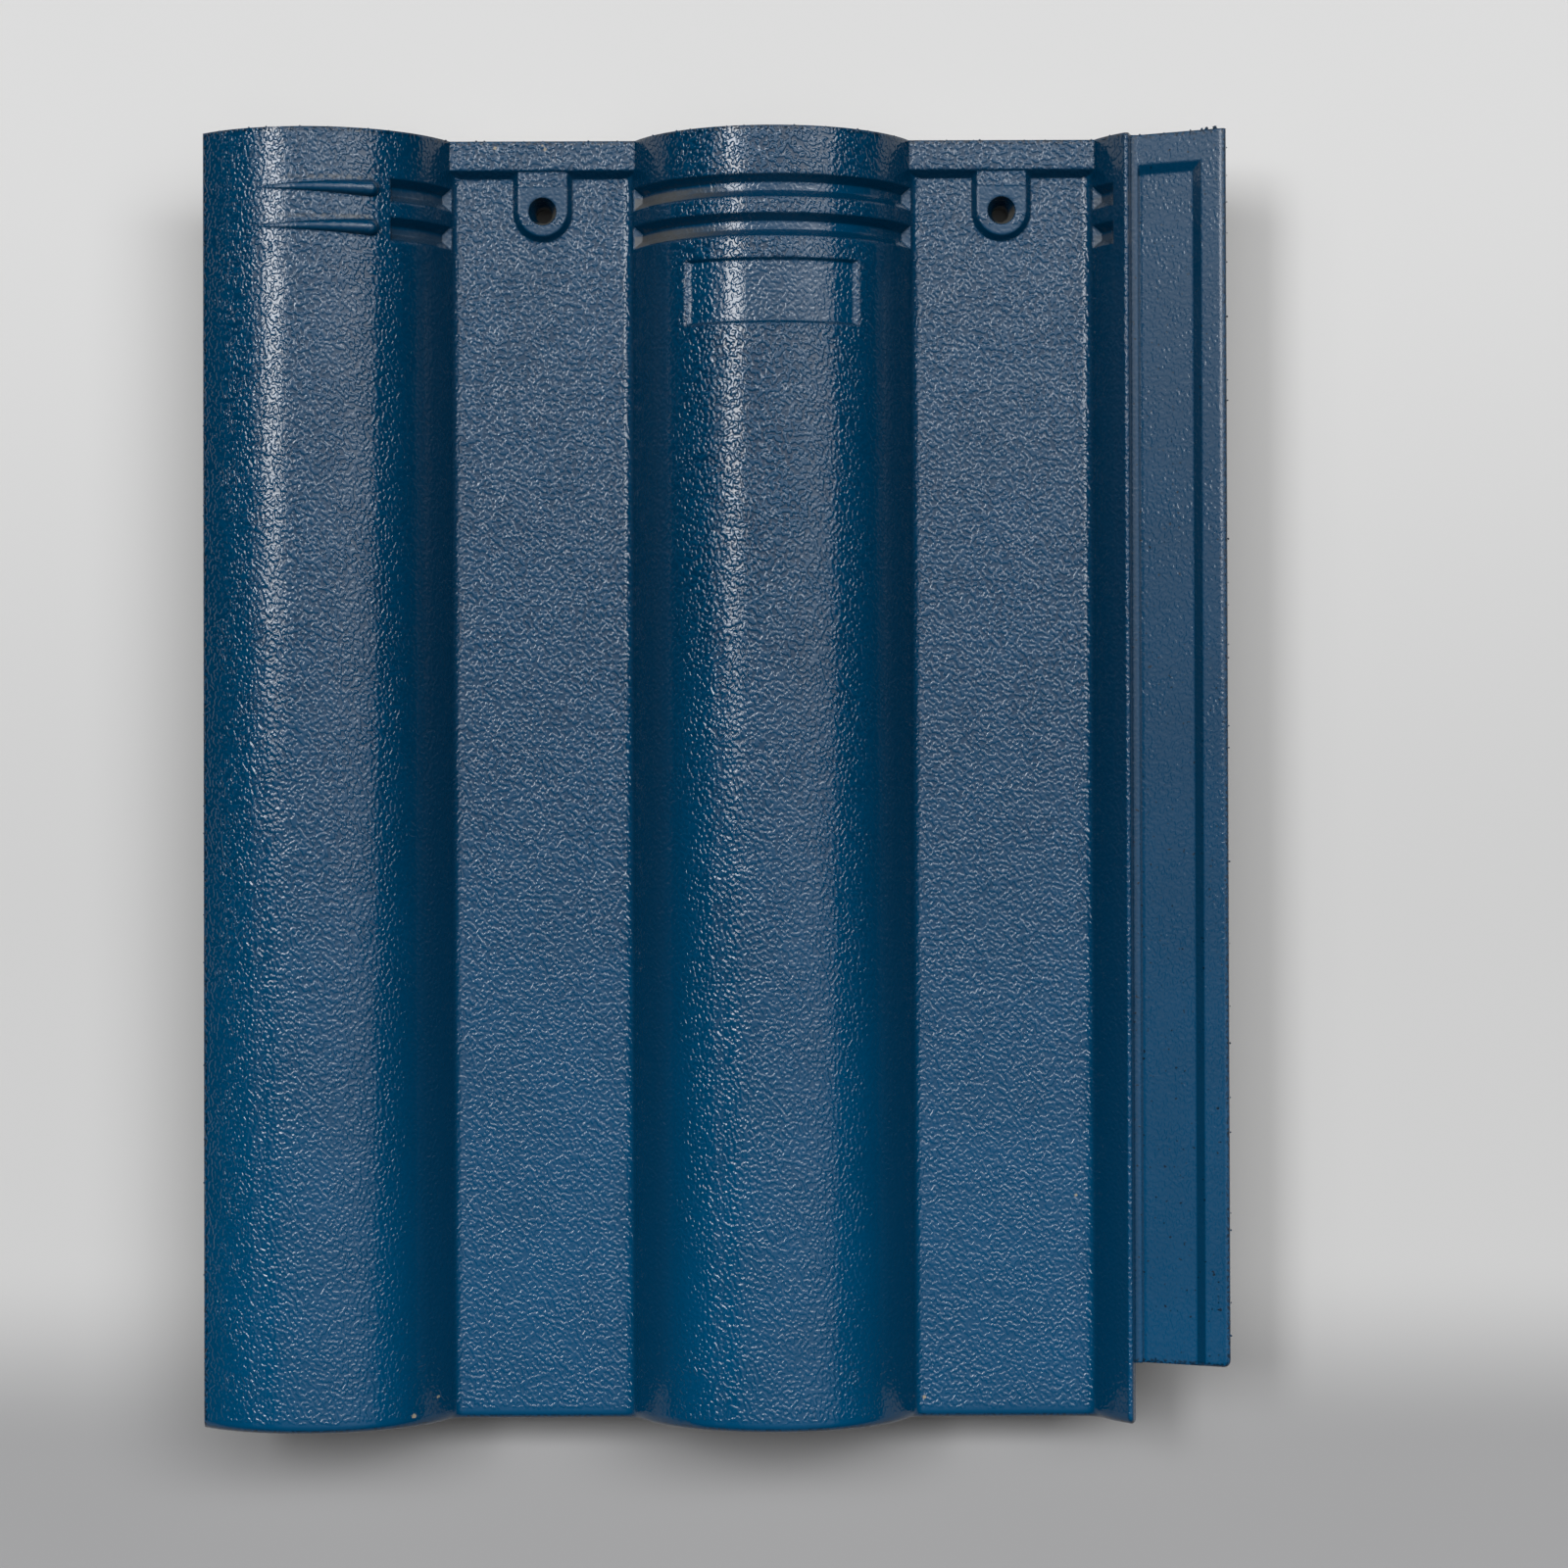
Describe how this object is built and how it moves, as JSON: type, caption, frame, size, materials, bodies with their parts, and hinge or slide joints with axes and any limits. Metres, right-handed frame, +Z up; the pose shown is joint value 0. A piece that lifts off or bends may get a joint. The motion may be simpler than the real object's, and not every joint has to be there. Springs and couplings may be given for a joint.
{
  "type": "roof tile",
  "caption": "Interlocking double-roll concrete roof tile with a blue colour coat, nail bosses and a side lap flange.",
  "frame": {"origin": "middle of the tile's floor plan, on the floor under its nibs and stop bars", "axes": "+X across the tile towards the side flange, +Y towards the head, +Z up out of the weather face"},
  "size_m": [0.335, 0.424, 0.0551],
  "materials": {
    "blue_coated_concrete": "semi-gloss blue coat over grainy cast concrete"
  },
  "bodies": {
    "root": {"roof_tile": "blue_coated_concrete"}
  },
  "joints": []
}
